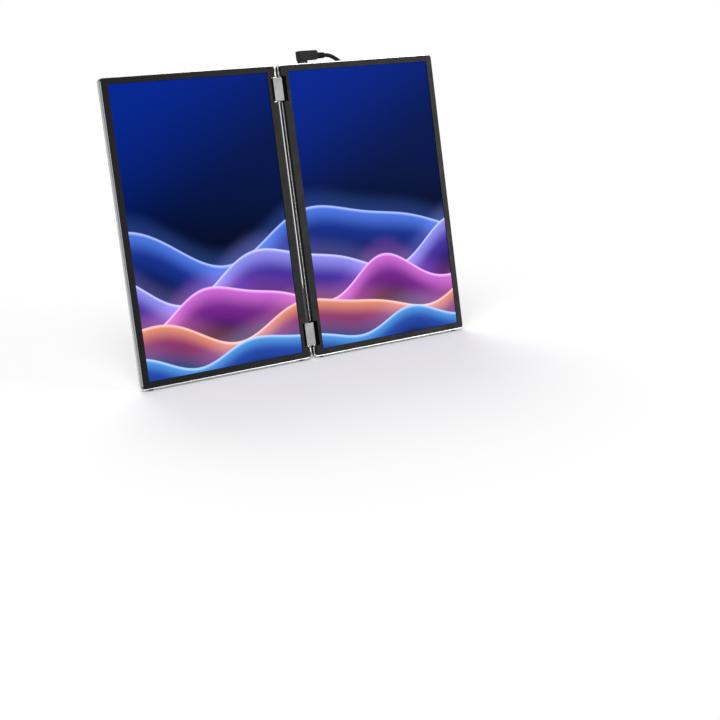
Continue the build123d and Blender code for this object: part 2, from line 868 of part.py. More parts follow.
def hinge_links():
    return {
        "upper_hinge_cover": hinge_cover(hinge_heights[-1]) + hinge_nub(hinge_heights[-1]),
        "lower_hinge_cover": hinge_cover(hinge_heights[0]),
        "hinge_friction_bushes": friction_bushes(),
    }


# Right-angled plug, in the panel frame
neck_z0 = cover_z1 + plug_neck_gap
body_z0 = neck_z0 + plug_neck_height
body_z1 = body_z0 + plug_height
body_x0 = usb_x - plug_overhang
body_x1 = body_x0 + plug_length
lead_z = body_z0 + plug_height * plug_axis_share
lead_radius = lead_diameter / 2


def plug_tip(length):
    """Hollow metal tip of a plug, drawn pointing down from Z = 0."""
    tip = port_block(usb_outline(plug_tip_width, plug_tip_height), length)
    bore = usb_outline(plug_tip_width - 2 * plug_tip_wall, plug_tip_height - 2 * plug_tip_wall)
    return tip - extrude(Pos(0, 0, -length - overrun) * bore, length + overrun - plug_tip_seat)


def plug_body():
    """Moulded right-angled body with cut corners and a neck over the socket."""
    body = slab(body_x0, body_x1, body_z0, body_z1, port_y - plug_thickness / 2, port_y + plug_thickness / 2)
    uprights = body.edges().filter_by(Axis.Y)
    body = chamfer(uprights.group_by(Axis.X)[-1], plug_chamfer)
    body = chamfer(body.edges().filter_by(Axis.Y).group_by(Axis.X)[0], plug_edge_round)
    faces = body.faces().filter_by(Axis.Y)
    body = chamfer(faces.edges(), plug_edge_round)
    neck_half = plug_neck_thickness / 2
    x0 = usb_x - plug_neck_width / 2
    x1 = usb_x + plug_neck_width / 2
    return body + slab(x0, x1, neck_z0, body_z0 + overrun, port_y - neck_half, port_y + neck_half)


def strain_relief(radius, tip_radius, length):
    """Tapered grommet with ring grooves, drawn along +Z from the plug."""
    cone = Pos(0, 0, length / 2) * Cone(radius, tip_radius, length)
    step = length / (relief_grooves + 1)
    for ring in range(relief_grooves):
        z = step * (ring + 1)
        groove = Cylinder(radius + overrun, relief_groove_width) - Cylinder(
            tip_radius - relief_groove, relief_groove_width,
        )
        cone -= Pos(0, 0, z) * groove
    return cone


def tube(path):
    """Round lead along a path."""
    start = path.edges()[0]
    section = Plane(start @ 0, z_dir=start % 0) * Circle(lead_radius)
    return sweep(section, path=path)


def drop_points(place):
    """Corner points of the lead from its grommet to the coil."""
    start = (place * Pos(body_x1 + relief_length, port_y, lead_z)).position
    entry = coil_entry()
    points = [start, start + Vector(lead_first_run, 0, 0)]
    points += [Vector(*point) for point in lead_route]
    return points + [entry + Vector(lead_last_run, 0, 0), entry]


def bend_radii(points):
    """Largest even bend at each corner of a route."""
    radii = []
    for before, corner, after in zip(points, points[1:], points[2:]):
        shorter = min((corner - before).length, (after - corner).length)
        turn = math.radians((corner - before).get_angle(after - corner))
        radii.append(lead_bend_share * shorter / math.tan(turn / 2))
    return radii


coil_low = tie_thickness + tie_gap + lead_radius
coil_high = coil_low + coil_layer_step


def coil_entry():
    x, y = coil_centre
    return Vector(x + lead_diameter, y + coil_radius, coil_high)


def coil_ends():
    """Points where each half turn of the coil ends, spiralling in, then down and out again."""
    x, y = coil_centre
    shrink = coil_pitch / 2
    radii = [coil_radius - shrink * turn for turn in range(coil_half_turns + 1)]
    heights = [coil_high] * len(radii) + [coil_low] * len(radii)
    radii += radii[::-1]
    return [
        Vector(x, y + radius * (-1) ** turn, height)
        for turn, (radius, height) in enumerate(zip(radii, heights))
    ]


def coil_path():
    """Straight lead-in, two arcs for each half turn, and a straight tail."""
    ends = coil_ends()
    edges = [Line(coil_entry(), ends[0])]
    for turn, (start, end) in enumerate(zip(ends, ends[1:])):
        heading = Vector((-1) ** (turn + 1), 0, 0)
        crown = (start + end) / 2 + heading * ((end - start).length / 2)
        edges.append(TangentArc(start, crown, tangent=heading))
        edges.append(TangentArc(crown, end, tangent=edges[-1] % 1))
    tail = Vector(coil_tail, 0, 0)
    edges.append(Line(ends[-1], ends[-1] + tail))
    return Wire([edge.edge() for edge in edges])


def coil_gap(path):
    """Least gap between turns, measured on points along the coil."""
    count = int(path.length / lead_radius)
    points = [path @ (step / count) for step in range(count + 1)]
    apart = int(2 * math.pi * lead_radius / (path.length / count)) + count // (4 * coil_half_turns)
    least = min(
        (points[i] - points[j]).length for i in range(count + 1) for j in range(i + apart, count + 1)
    )
    return least - lead_diameter


def coil_tie():
    """Strap round the bundle on its left side, where two turns lie in each layer."""
    x, y = coil_centre
    outer = coil_radius - coil_pitch / 4
    inner = coil_radius - coil_pitch * (2 * coil_half_turns - 1) / 4
    sag = (tie_width / 2 + coil_pitch / 4) ** 2 / (2 * inner)
    x0 = x - outer - lead_radius - tie_gap
    x1 = x - inner + lead_radius + tie_gap + sag
    z0 = coil_low - lead_radius - tie_gap
    z1 = coil_high + lead_radius + tie_gap
    loop = slab(
        x0 - tie_thickness, x1 + tie_thickness, z0 - tie_thickness, z1 + tie_thickness,
        y - tie_width / 2, y + tie_width / 2, tie_corner,
    )
    return loop - slab(x0, x1, z0, z1, y - tie_width, y + tie_width, tie_corner - tie_thickness)


def far_plug():
    """Straight plug at the coil's tail, drawn along +Z from the tail's end."""
    body = extrude(
        Pos(0, 0, far_relief_length) * RectangleRounded(far_plug_thickness, far_plug_width, far_plug_round),
        far_plug_length,
    )
    return chamfer(body.faces().sort_by(Axis.Z)[-1].edges(), plug_edge_round)


def lead(place):
    """The lead's pieces: near plug in the panel frame, the rest on the floor behind."""
    relief_end = Pos(body_x1, port_y, lead_z) * Rot(Y=90)
    tail = coil_ends()[-1] + Vector(coil_tail, 0, 0)
    far_end = Pos(*tail) * Rot(Y=90)
    tip_end = far_end * Pos(0, 0, far_relief_length + far_plug_length) * Rot(X=180) * Rot(Z=90)
    near_relief = strain_relief(relief_radius, relief_tip_radius, relief_length)
    points = drop_points(place)
    radii = bend_radii(points)
    run = FilletPolyline(*points, radius=radii)
    coil = coil_path()
    pieces = {
        "usb_plug_tip": place * Pos(usb_x, port_y, neck_z0) * plug_tip(plug_tip_length + plug_neck_gap),
        "usb_plug_body": place * plug_body(),
        "usb_plug_strain_relief": place * relief_end * near_relief,
        "usb_lead_run": tube(run),
        "usb_lead_coil": tube(coil),
        "usb_lead_tie": coil_tie(),
        "far_plug_strain_relief": far_end * Pos(0, 0, far_relief_length) * Rot(X=180)
        * strain_relief(far_relief_radius, far_relief_tip_radius, far_relief_length),
        "far_plug_body": far_end * far_plug(),
        "far_plug_tip": tip_end * plug_tip(plug_tip_length),
    }
    section = math.pi * lead_radius ** 2
    print("lead bends:", " ".join(f"{radius:.1f}" for radius in radii))
    for name, path in (("usb_lead_run", run), ("usb_lead_coil", coil)):
        share = pieces[name].volume / (section * path.length)
        print(f"{name}: {path.length:.1f} long, volume share {share:.4f}")
    print(f"coil gap: {coil_gap(coil):.2f}")
    print("lead starts:", points[0], "then", points[1], "ends", points[-2], points[-1])
    return pieces


def level_soles(pieces):
    """Cut the rubber feet level with the floor."""
    for name in ("right_edge_feet", "left_edge_feet", "kickstand_foot"):
        piece = pieces[name]
        box = piece.bounding_box()
        below = Pos(box.center().X, box.center().Y, 0) * Box(
            box.size.X + 2 * overrun, box.size.Y + 2 * overrun, cover_z1,
            align=(Align.CENTER, Align.CENTER, Align.MAX),
        )
        soles = [solid - below for solid in piece.solids()]
        pieces[name] = group(soles)
    return pieces


def standing():
    """All the pieces at rest, and the move that put them there."""
    pieces = {**main_panel(), **second_panel(), **hinge_links()}
    lifted = Pos(0, 0, -floor_level) * Rot(X=-lean)
    pieces = level_soles({name: lifted * piece for name, piece in pieces.items()})
    boxes = [piece.bounding_box() for piece in pieces.values()]
    middle = (min(box.min.Y for box in boxes) + max(box.max.Y for box in boxes)) / 2
    centred = Pos(0, -middle, 0)
    return {name: centred * piece for name, piece in pieces.items()}, centred * lifted


def main():
    os.makedirs("parts", exist_ok=True)
    pieces, place = standing()
    pieces.update(lead(place))
    for name, piece in pieces.items():
        export_step(piece, f"parts/{name}.step")
    marks = {
        "right shaft": (shaft_x, 0, 0),
        "left shaft": (-shaft_x, 0, 0),
        "stand pivot": (0, pivot_y, pivot_z),
        "tripod mouth": (tripod_x, back, tripod_z),
        "usb mouth": (usb_x, port_y, cover_z1),
        "power button": (power_x, port_y, cover_z1),
        "menu button": (cover_x1, port_y, menu_button_height),
    }
    for name, point in marks.items():
        spot = (place * Pos(*point)).position
        print(f"{name}: {spot.X:.3f} {spot.Y:.3f} {spot.Z:.3f}")
    print(f"stand open at rest: {stand_open:.3f} degrees of {stand_stop_open:.0f}")


main()
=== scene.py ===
"""Looks of the folding monitor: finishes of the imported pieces, screens, lead, contacts, stage."""
import math

import bpy
from mathutils import Matrix, Vector


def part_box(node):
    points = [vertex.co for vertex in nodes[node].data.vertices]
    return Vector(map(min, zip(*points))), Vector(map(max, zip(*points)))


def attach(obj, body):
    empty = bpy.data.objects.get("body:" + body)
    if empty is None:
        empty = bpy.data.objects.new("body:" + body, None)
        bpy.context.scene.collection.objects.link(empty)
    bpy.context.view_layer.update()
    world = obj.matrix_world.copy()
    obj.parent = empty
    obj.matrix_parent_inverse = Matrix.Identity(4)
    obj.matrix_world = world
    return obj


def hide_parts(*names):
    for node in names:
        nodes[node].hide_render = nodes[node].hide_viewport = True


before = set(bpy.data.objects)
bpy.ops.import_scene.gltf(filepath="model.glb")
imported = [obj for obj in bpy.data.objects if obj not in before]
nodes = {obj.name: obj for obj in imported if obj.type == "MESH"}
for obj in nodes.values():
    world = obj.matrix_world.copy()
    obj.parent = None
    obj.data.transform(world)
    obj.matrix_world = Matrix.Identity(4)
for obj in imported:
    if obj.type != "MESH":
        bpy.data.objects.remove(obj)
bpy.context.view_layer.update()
scene = bpy.context.scene
scene.view_settings.view_transform = "Standard"

MM = 0.001

# Panel's own frame: upright, with its origin at the foot of the hinge line
LEAN = math.radians(12.16)
HINGE_FOOT = Vector((0, -0.035862, 0.001629))
PANEL = Matrix.Translation(HINGE_FOOT) @ Matrix.Rotation(-LEAN, 4, "X")

# Lit area of a screen, in the panel's own frame
LIT_WIDTH = 0.18855
LIT_HEIGHT = 0.30168
LIT_BOTTOM = 0.0077
LIT_NEAR_HINGE = 0.01395
LIT_FAR = LIT_NEAR_HINGE + LIT_WIDTH

# Grain: scale of the uneven gloss against the bump's, and the part of its noise that is used
BROAD_GRAIN = 0.03
MIDDLE_HALF = (0.25, 0.75)


# Node helpers

def place(tree, kind, inputs=None, **settings):
    """Add a node, set its options, and set or link its inputs."""
    made = tree.nodes.new(kind)
    for key, value in settings.items():
        setattr(made, key, value)
    for key, value in (inputs or {}).items():
        socket = made.inputs[key]
        if isinstance(value, bpy.types.NodeSocket):
            tree.links.new(value, socket)
        else:
            socket.default_value = value
    return made


def calc(tree, operation, first, second=0.0, third=0.0):
    """Result of one step of arithmetic."""
    inputs = {0: first, 1: second, 2: third}
    return place(tree, "ShaderNodeMath", inputs, operation=operation).outputs[0]


def fade(tree, value, low, high, start=0.0, end=1.0):
    """Smooth change from start to end while value goes from low to high."""
    inputs = {"Value": value, "From Min": low, "From Max": high, "To Min": start, "To Max": end}
    made = place(tree, "ShaderNodeMapRange", inputs, interpolation_type="SMOOTHSTEP")
    return made.outputs["Result"]


def mix(tree, factor, first, second, mode="MIX"):
    """First colour with the second mixed in, or added, by factor."""
    inputs = {0: factor, 6: first, 7: second}
    return place(tree, "ShaderNodeMix", inputs, data_type="RGBA", blend_type=mode).outputs[2]


def finish(name, colour, roughness, metallic=0.0, **sockets):
    """New material with its plain values on the shader's own sockets."""
    material = bpy.data.materials.new(name)
    material.use_nodes = True
    shader = material.node_tree.nodes["Principled BSDF"]
    shader.inputs["Base Color"].default_value = (*colour, 1)
    shader.inputs["Roughness"].default_value = roughness
    shader.inputs["Metallic"].default_value = metallic
    for key, value in sockets.items():
        shader.inputs[key.replace("_", " ")].default_value = value
    return material, material.node_tree, shader


def surface_place(tree):
    """Object coordinates of the piece."""
    return place(tree, "ShaderNodeTexCoord").outputs["Object"]


def panel_place(tree):
    """Object coordinates turned back into the upright panel's own frame, split into X, Y and Z."""
    foot = Matrix.Rotation(LEAN, 3, "X") @ HINGE_FOOT
    upright = place(tree, "ShaderNodeMapping", {
        "Vector": surface_place(tree), "Rotation": (LEAN, 0, 0), "Location": -foot,
    })
    return place(tree, "ShaderNodeSeparateXYZ", {0: upright.outputs["Vector"]}).outputs


def grain(tree, shader, where, size, depth, roughness, spread, colour, colour_spread):
    """Fine grain of a given size: bump, uneven gloss and a little mottling."""
    fine = place(tree, "ShaderNodeTexNoise", {
        "Vector": where, "Scale": 1 / size, "Detail": 3.0, "Roughness": 0.6,
    })
    broad = place(tree, "ShaderNodeTexNoise", {
        "Vector": where, "Scale": BROAD_GRAIN / size, "Detail": 4.0,
    })
    bump = place(tree, "ShaderNodeBump", {
        "Height": fine.outputs["Fac"], "Strength": depth, "Distance": size,
    })
    tree.links.new(bump.outputs["Normal"], shader.inputs["Normal"])
    low, high = roughness - spread, roughness + spread
    gloss = fade(tree, broad.outputs["Fac"], *MIDDLE_HALF, low, high)
    tree.links.new(gloss, shader.inputs["Roughness"])
    dark = tuple(value * (1 - colour_spread) for value in colour)
    light = tuple(min(1.0, value * (1 + colour_spread)) for value in colour)
    tint = mix(tree, fine.outputs["Fac"], (*dark, 1), (*light, 1))
    tree.links.new(tint, shader.inputs["Base Color"])


# Grains of the finishes
BLAST = {"size": 0.00025, "depth": 0.08, "spread": 0.05, "colour_spread": 0.06}
SATIN = {"size": 0.0003, "depth": 0.08, "spread": 0.05, "colour_spread": 0.06}
DRAWN = {"size": 0.0012, "depth": 0.05, "spread": 0.08, "colour_spread": 0.12}
JACKET = {"size": 0.0006, "depth": 0.12, "spread": 0.08, "colour_spread": 0.3}

# Painted shade on the rear covers' hinge sides and the hinge covers' sides, painted highlight on
# the bezels' outer sides, and their soft edges, from one place to the next in the panel's own frame
# Painted shade: black over the rear covers' metal along the hinge side, in the gap between the
# panels
HINGE_SIDE_SHADE = (0.003, 0.003, 0.003)
HINGE_SIDE_SHADE_END = (0.0042, 0.0046)
RIM_FRONT = (-0.0010, -0.0008)
BARE_LINE_START = (0.0021, 0.0023)
BARE_LINE_END = (0.0034, 0.0036)
LEFT_TO_RIGHT = (-0.0010, 0.0010)
# Share of the bare line left on the left cover; the rest of that line gets painted shade
LEFT_LINE_UNSHADED = 0.3
# Painted shade: black on the hinge covers behind their silver faces
LINK_SIDE_SHADE = (0.008, 0.008, 0.008)
LINK_FACE = (-0.00145, -0.00125)
# Painted highlight: silver metal on the bezels' outer sides away from the hinge
BEZEL_OUTER_SIDE = (0.21030, 0.21036)
BEZEL_FACE = (-0.0036, -0.0034)
BEZEL_SPECULAR = 0.09


# Finishes

def blasted_metal(name, colour, roughness):
    """Bead-blasted, anodised metal."""
    material, tree, shader = finish(name, colour, roughness, metallic=1.0)
    grain(tree, shader, surface_place(tree), roughness=roughness, colour=colour, **BLAST)
    return material


def paint_shade(tree, shader, mask, colour):
    """Painted shade: black mixed over the masked part of a metal finish, which loses its shine
    there.
    """
    base = shader.inputs["Base Color"].links[0].from_socket
    tree.links.new(mix(tree, mask, base, (*colour, 1)), shader.inputs["Base Color"])
    unshaded = calc(tree, "SUBTRACT", 1.0, mask)
    full = shader.inputs["Metallic"].default_value
    tree.links.new(calc(tree, "MULTIPLY", unshaded, full), shader.inputs["Metallic"])


def panel_metal(name, colour, roughness):
    """Rear cover's metal, with painted shade in black along the hinge side apart from a line of
    bare metal, and painted shade over most of that line on the left cover.
    """
    material, tree, shader = finish(name, colour, roughness, metallic=1.0, Specular_IOR_Level=0.08)
    grain(tree, shader, surface_place(tree), roughness=roughness, colour=colour, **BLAST)
    spot = panel_place(tree)
    from_hinge = calc(tree, "ABSOLUTE", spot["X"])
    near_hinge = fade(tree, from_hinge, *HINGE_SIDE_SHADE_END, 1.0, 0.0)
    strength = fade(tree, spot["X"], *LEFT_TO_RIGHT, LEFT_LINE_UNSHADED, 1.0)
    on_front = fade(tree, spot["Y"], *RIM_FRONT, strength, 0.0)
    past_edge = fade(tree, from_hinge, *BARE_LINE_START)
    before_bezel = fade(tree, from_hinge, *BARE_LINE_END, 1.0, 0.0)
    unshaded = calc(tree, "MULTIPLY", on_front, calc(tree, "MULTIPLY", past_edge, before_bezel))
    # Painted shade in black along the hinge side, apart from the bare line, and over most of that
    # line on the left cover
    shade_and_highlight_mask = calc(tree, "MULTIPLY", near_hinge, calc(tree, "SUBTRACT", 1.0, unshaded))
    paint_shade(tree, shader, shade_and_highlight_mask, HINGE_SIDE_SHADE)
    return material


def link_metal(name, colour, roughness):
    """Hinge cover: satin silver face, with painted shade in black on the block behind it."""
    material, tree, shader = finish(name, colour, roughness, metallic=0.7)
    grain(tree, shader, surface_place(tree), roughness=roughness, colour=colour, **SATIN)
    # Painted shade in black on the block behind the silver face
    behind_face = fade(tree, panel_place(tree)["Y"], *LINK_FACE)
    paint_shade(tree, shader, behind_face, LINK_SIDE_SHADE)
    return material


def drawn_metal(name, colour, roughness, stretch=(1, 1, 40)):
    """Metal with fine lines from drawing or grinding."""
    material, tree, shader = finish(name, colour, roughness, metallic=1.0)
    lines = place(tree, "ShaderNodeMapping", {"Vector": surface_place(tree), "Scale": stretch})
    grain(tree, shader, lines.outputs["Vector"], roughness=roughness, colour=colour, **DRAWN)
    return material


def moulded_plastic(name, colour, roughness, size=0.0004, depth=0.16, specular=0.12):
    """Spark-eroded moulded plastic."""
    material, tree, shader = finish(name, colour, roughness, Specular_IOR_Level=specular)
    grain(
        tree, shader, surface_place(tree), size=size, depth=depth, roughness=roughness, spread=0.06,
        colour=colour, colour_spread=0.18,
    )
    return material


def bezel_plastic(name, colour, roughness, side_highlight):
    """Bezel's moulded plastic, with a painted highlight as silver metal on the outer side away from
    the hinge.
    """
    material = moulded_plastic(name, colour, roughness, specular=BEZEL_SPECULAR)
    tree = material.node_tree
    shader = tree.nodes["Principled BSDF"]
    spot = panel_place(tree)
    outer_side = fade(tree, calc(tree, "ABSOLUTE", spot["X"]), *BEZEL_OUTER_SIDE)
    behind_face = fade(tree, spot["Y"], *BEZEL_FACE)
    # Painted highlight: silver metal over the outer side
    shade_and_highlight_mask = calc(tree, "MULTIPLY", outer_side, behind_face)
    base = shader.inputs["Base Color"].links[0].from_socket
    tree.links.new(mix(tree, shade_and_highlight_mask, base, (*side_highlight, 1)), shader.inputs["Base Color"])
    tree.links.new(shade_and_highlight_mask, shader.inputs["Metallic"])
    return material


def solder_mask(name):
    """Green lacquer over copper tracks, with gold pads."""
    lacquer, deep_lacquer = (0.012, 0.11, 0.05), (0.01, 0.09, 0.042)
    track, gold = (0.03, 0.19, 0.09), (0.55, 0.42, 0.2)
    pad_edge = (0.16, 0.2)
    material, tree, shader = finish(name, lacquer, 0.35)
    where = surface_place(tree)
    tracks = place(tree, "ShaderNodeTexBrick", {
        "Vector": where, "Scale": 140.0, "Mortar Size": 0.035, "Color1": (*lacquer, 1),
        "Color2": (*deep_lacquer, 1), "Mortar": (*track, 1),
    })
    pads = place(tree, "ShaderNodeTexVoronoi", {"Vector": where, "Scale": 420.0})
    on_pad = fade(tree, pads.outputs["Distance"], *pad_edge, 1.0, 0.0)
    tint = mix(tree, on_pad, tracks.outputs["Color"], (*gold, 1))
    tree.links.new(tint, shader.inputs["Base Color"])
    bump = place(tree, "ShaderNodeBump", {
        "Height": tracks.outputs["Fac"], "Strength": 0.2, "Distance": 0.0002,
    })
    tree.links.new(bump.outputs["Normal"], shader.inputs["Normal"])
    return material


def woven_strap(name):
    """Black webbing: ribs across the strap and threads along it, with painted shade where the weave
    is low.
    """
    hollow_shade, thread = (0.006, 0.006, 0.007), (0.03, 0.03, 0.032)
    material, tree, shader = finish(
        name, (0.012, 0.012, 0.013), 0.85, Sheen_Weight=0.25, Sheen_Roughness=0.5,
    )
    where = place(tree, "ShaderNodeTexCoord").outputs["UV"]
    along = place(tree, "ShaderNodeTexWave", {"Vector": where, "Scale": 16.0}, bands_direction="X")
    across = place(tree, "ShaderNodeTexWave", {"Vector": where, "Scale": 5.0}, bands_direction="Y")
    cloth = calc(tree, "MULTIPLY", along.outputs["Fac"], across.outputs["Fac"])
    # Painted shade: darker where the weave is low, lighter on the raised threads
    tint = mix(tree, cloth, (*hollow_shade, 1), (*thread, 1))
    tree.links.new(tint, shader.inputs["Base Color"])
    bump = place(tree, "ShaderNodeBump", {"Height": cloth, "Strength": 0.5, "Distance": 0.0004})
    tree.links.new(bump.outputs["Normal"], shader.inputs["Normal"])
    return material


def lead_jacket(name):
    """Soft black jacket of the lead, faintly grained."""
    colour, roughness = (0.004, 0.004, 0.004), 0.6
    material, tree, shader = finish(name, colour, roughness, Specular_IOR_Level=0.1)
    grain(tree, shader, surface_place(tree), roughness=roughness, colour=colour, **JACKET)
    return material


# Lit screens. Heights and reaches are shares of the picture's height.

QUICK_RATE, QUICK_SHIFT, QUICK_SHARE = 1.73, 1.1, 0.38
CREST_BLUR = 0.006
UPPER_BODY = (0.0, 0.45)
LOWER_BODY = (0.35, 1.0)
CREST_LIGHT = (0.85, 0.9, 1.0)
CREST_LIGHT_REACH, CREST_LIGHT_STRENGTH = 0.016, 0.6
HALO_REACH, HALO_STRENGTH = 0.08, 0.16
SKY_LOW = (0.0, 0.0012, 0.006)
SKY_MIDDLE = (0.0, 0.007, 0.07)
SKY_TOP = (0.0008, 0.020, 0.28)
SKY_MIDDLE_RISE = (0.3, 0.72)
SKY_TOP_RISE = (0.42, 1.0)
SKY_SLANT = -0.28
GLASS_BLACK = (0.001, 0.001, 0.0015)
LIT_MIDDLE, LIT_HALF = 0.5, 0.5


def light_swell():
    """Group: one soft hill of light in front of a backdrop."""
    tree = bpy.data.node_groups.new("light_swell", "ShaderNodeTree")
    numbers = ("Across", "Height", "Level", "Rise", "Waves", "Phase", "Reach")
    colours = ("Crest", "Depth", "Deep")
    for name in ("Backdrop", *numbers, *colours):
        kind = "NodeSocketFloat" if name in numbers else "NodeSocketColor"
        tree.interface.new_socket(name=name, in_out="INPUT", socket_type=kind)
    tree.interface.new_socket(name="Colour", in_out="OUTPUT", socket_type="NodeSocketColor")
    given = place(tree, "NodeGroupInput").outputs
    turn = calc(tree, "MULTIPLY_ADD", given["Across"], given["Waves"], given["Phase"])
    slow = calc(tree, "SINE", turn)
    quick = calc(tree, "SINE", calc(tree, "MULTIPLY_ADD", turn, QUICK_RATE, QUICK_SHIFT))
    sway = calc(tree, "MULTIPLY_ADD", quick, QUICK_SHARE, slow)
    crest = calc(tree, "MULTIPLY_ADD", sway, given["Rise"], given["Level"])
    under = calc(tree, "SUBTRACT", crest, given["Height"])
    inside = fade(tree, under, 0.0, CREST_BLUR)
    share = calc(tree, "DIVIDE", under, given["Reach"])
    upper = mix(tree, fade(tree, share, *UPPER_BODY), given["Crest"], given["Depth"])
    body = mix(tree, fade(tree, share, *LOWER_BODY), upper, given["Deep"])
    edge = fade(tree, under, 0.0, CREST_LIGHT_REACH, CREST_LIGHT_STRENGTH, 0.0)
    body = mix(tree, edge, body, (*CREST_LIGHT, 1), "ADD")
    halo = fade(tree, under, -HALO_REACH, 0.0, 0.0, HALO_STRENGTH)
    glow = mix(tree, halo, given["Backdrop"], given["Crest"], "ADD")
    result = place(tree, "NodeGroupOutput", {"Colour": mix(tree, inside, glow, body)})
    result.is_active_output = True
    return tree


SWELLS = (
    # level, rise, waves, phase, reach, crest, depth, deep
    (0.45, 0.070, 4.2, 0.4, 0.20, (0.08, 0.20, 0.80), (0.008, 0.03, 0.26), (0.000, 0.003, 0.03)),
    (0.33, 0.065, 5.1, 2.2, 0.20, (0.30, 0.30, 0.95), (0.06, 0.03, 0.34), (0.002, 0.002, 0.04)),
    (0.235, 0.055, 6.0, 4.4, 0.19, (0.65, 0.16, 0.70), (0.18, 0.02, 0.26), (0.006, 0.002, 0.04)),
    (0.145, 0.045, 5.4, 0.9, 0.16, (0.85, 0.30, 0.18), (0.28, 0.04, 0.15), (0.008, 0.003, 0.05)),
    (0.060, 0.030, 6.6, 3.1, 0.13, (0.10, 0.36, 0.85), (0.02, 0.07, 0.40), (0.000, 0.006, 0.07)),
)


def lit_screen(name, left_edge, swell):
    """Glass with a picture of its own: hills of coloured light under a blue night sky."""
    material, tree, shader = finish(name, GLASS_BLACK, roughness=0.25, Specular_IOR_Level=0.004)
    spot = panel_place(tree)
    across = calc(tree, "DIVIDE", calc(tree, "SUBTRACT", spot["X"], left_edge), LIT_WIDTH)
    height = calc(tree, "DIVIDE", calc(tree, "SUBTRACT", spot["Z"], LIT_BOTTOM), LIT_HEIGHT)
    whole = calc(tree, "DIVIDE", spot["X"], LIT_FAR)
    low = mix(tree, fade(tree, height, *SKY_MIDDLE_RISE), (*SKY_LOW, 1), (*SKY_MIDDLE, 1))
    aside = calc(tree, "MULTIPLY_ADD", across, SKY_SLANT, height)
    picture = mix(tree, fade(tree, aside, *SKY_TOP_RISE), low, (*SKY_TOP, 1))
    for level, rise, waves, phase, reach, crest, depth, deep in SWELLS:
        values = {
            "Backdrop": picture, "Across": whole, "Height": height, "Level": level, "Rise": rise,
            "Waves": waves, "Phase": phase, "Reach": reach, "Crest": (*crest, 1),
            "Depth": (*depth, 1), "Deep": (*deep, 1),
        }
        picture = place(tree, "ShaderNodeGroup", values, node_tree=swell).outputs["Colour"]
    in_width = calc(tree, "COMPARE", across, LIT_MIDDLE, LIT_HALF)
    in_height = calc(tree, "COMPARE", height, LIT_MIDDLE, LIT_HALF)
    lit = calc(tree, "MULTIPLY", in_width, in_height)
    tree.links.new(mix(tree, lit, (0, 0, 0, 1), picture), shader.inputs["Emission Color"])
    shader.inputs["Emission Strength"].default_value = 1.0
    return material


# Lead: the route of the solid lead, then its coil, as one smooth line, in millimetres

LEAD_DIAMETER = 4.4
LEAD_EXIT = (65.0, 33.337, 318.597)
LEAD_ROUTE = [
    LEAD_EXIT, (71.0, 33.337, 318.597), (80.0, 35.6, 315.5), (92.0, 40.0, 309.6),
    (105.0, 43.2, 299.0), (118.0, 44.1, 282.0), (130.0, 44.4, 261.0), (143.5, 44.5, 235.0),
    (159.0, 44.2, 203.0), (176.5, 43.4, 161.0), (192.0, 42.4, 117.0), (201.5, 41.3, 80.0),
    (206.0, 40.0, 51.0), (207.3, 38.5, 28.5), (200.1, 37.7, 16.0), (187.6, 37.0, 8.95),
    (174.4, 37.0, 8.95),
]
COIL_CENTRE = Vector((170.0, 8.0, 0.0))
COIL_RADIUS = 29.0
COIL_PITCH = 5.8
COIL_LAYERS = (8.95, 3.35)
COIL_HALF_TURNS = 3
COIL_TAIL = 8.0
COIL_STEPS = 8


def coil_points():
    """Control points of the coil: in along the top layer, down, and out along the bottom one."""
    radii = [COIL_RADIUS - COIL_PITCH / 2 * turn for turn in range(COIL_HALF_TURNS + 1)]
    heights = [COIL_LAYERS[0]] * len(radii) + [COIL_LAYERS[1]] * len(radii)
    radii = radii + radii[::-1]
    ends = [
        COIL_CENTRE + Vector((0, radius * (-1) ** turn, height))
        for turn, (radius, height) in enumerate(zip(radii, heights))
    ]
    spread = 1 / math.cos(math.pi / COIL_STEPS / 2)
    points = []
    for turn, (start, end) in enumerate(zip(ends, ends[1:])):
        middle = (start + end) / 2
        arm = (start - end) / 2
        side = Vector(((-1) ** (turn + 1) * arm.xy.length, 0, 0))
        for step in range(COIL_STEPS):
            angle = math.pi * (step + 0.5) / COIL_STEPS
            reach = arm * math.cos(angle) + side * math.sin(angle)
            points.append(middle + Vector((reach.x * spread, reach.y * spread, reach.z)))
    points.append(ends[-1])
    points.append(ends[-1] + Vector((COIL_TAIL, 0, 0)))
    return points


def build_lead(material):
    """Lead and coil as one NURBS line with a round section."""
    points = [Vector(point) for point in LEAD_ROUTE] + coil_points()
    line = bpy.data.curves.new("usb_lead", "CURVE")
    line.dimensions = "3D"
    line.bevel_depth = LEAD_DIAMETER / 2 * MM
    line.bevel_resolution = 4
    line.resolution_u = 6
    line.use_fill_caps = True
    spline = line.splines.new("NURBS")
    spline.points.add(len(points) - 1)
    for knot, point in zip(spline.points, points):
        knot.co = (*(point * MM), 1)
    spline.order_u = 3
    spline.use_endpoint_u = True
    lead = bpy.data.objects.new("usb_lead", line)
    scene.collection.objects.link(lead)
    lead.data.materials.append(material)
    return lead


# Tie: hook-and-loop strap that overlaps itself on top of the coil

STRAP_THICKNESS = 0.0008
STRAP_CORNER = 0.0016
STRAP_OVERLAP = 0.3
STRAP_STEP = 0.0014
STRAP_LIFT = 1.05 * STRAP_THICKNESS
STRAP_UV = (0.03, 0.25)


def strap_line(low, high, corner, count=7):
    """Rounded rectangle in XZ, from the middle of its top round by the left: points, ways out."""
    centres = (
        (low.x + corner, high.z - corner, 90), (low.x + corner, low.z + corner, 180),
        (high.x - corner, low.z + corner, 270), (high.x - corner, high.z - corner, 360),
    )
    line = [(Vector(((low.x + high.x) / 2, 0, high.z)), Vector((0, 0, 1)))]
    for x, z, start in centres:
        for step in range(count):
            angle = math.radians(start + 90 * step / (count - 1))
            way = Vector((math.cos(angle), 0, math.sin(angle)))
            line.append((Vector((x, 0, z)) + way * corner, way))
    return line


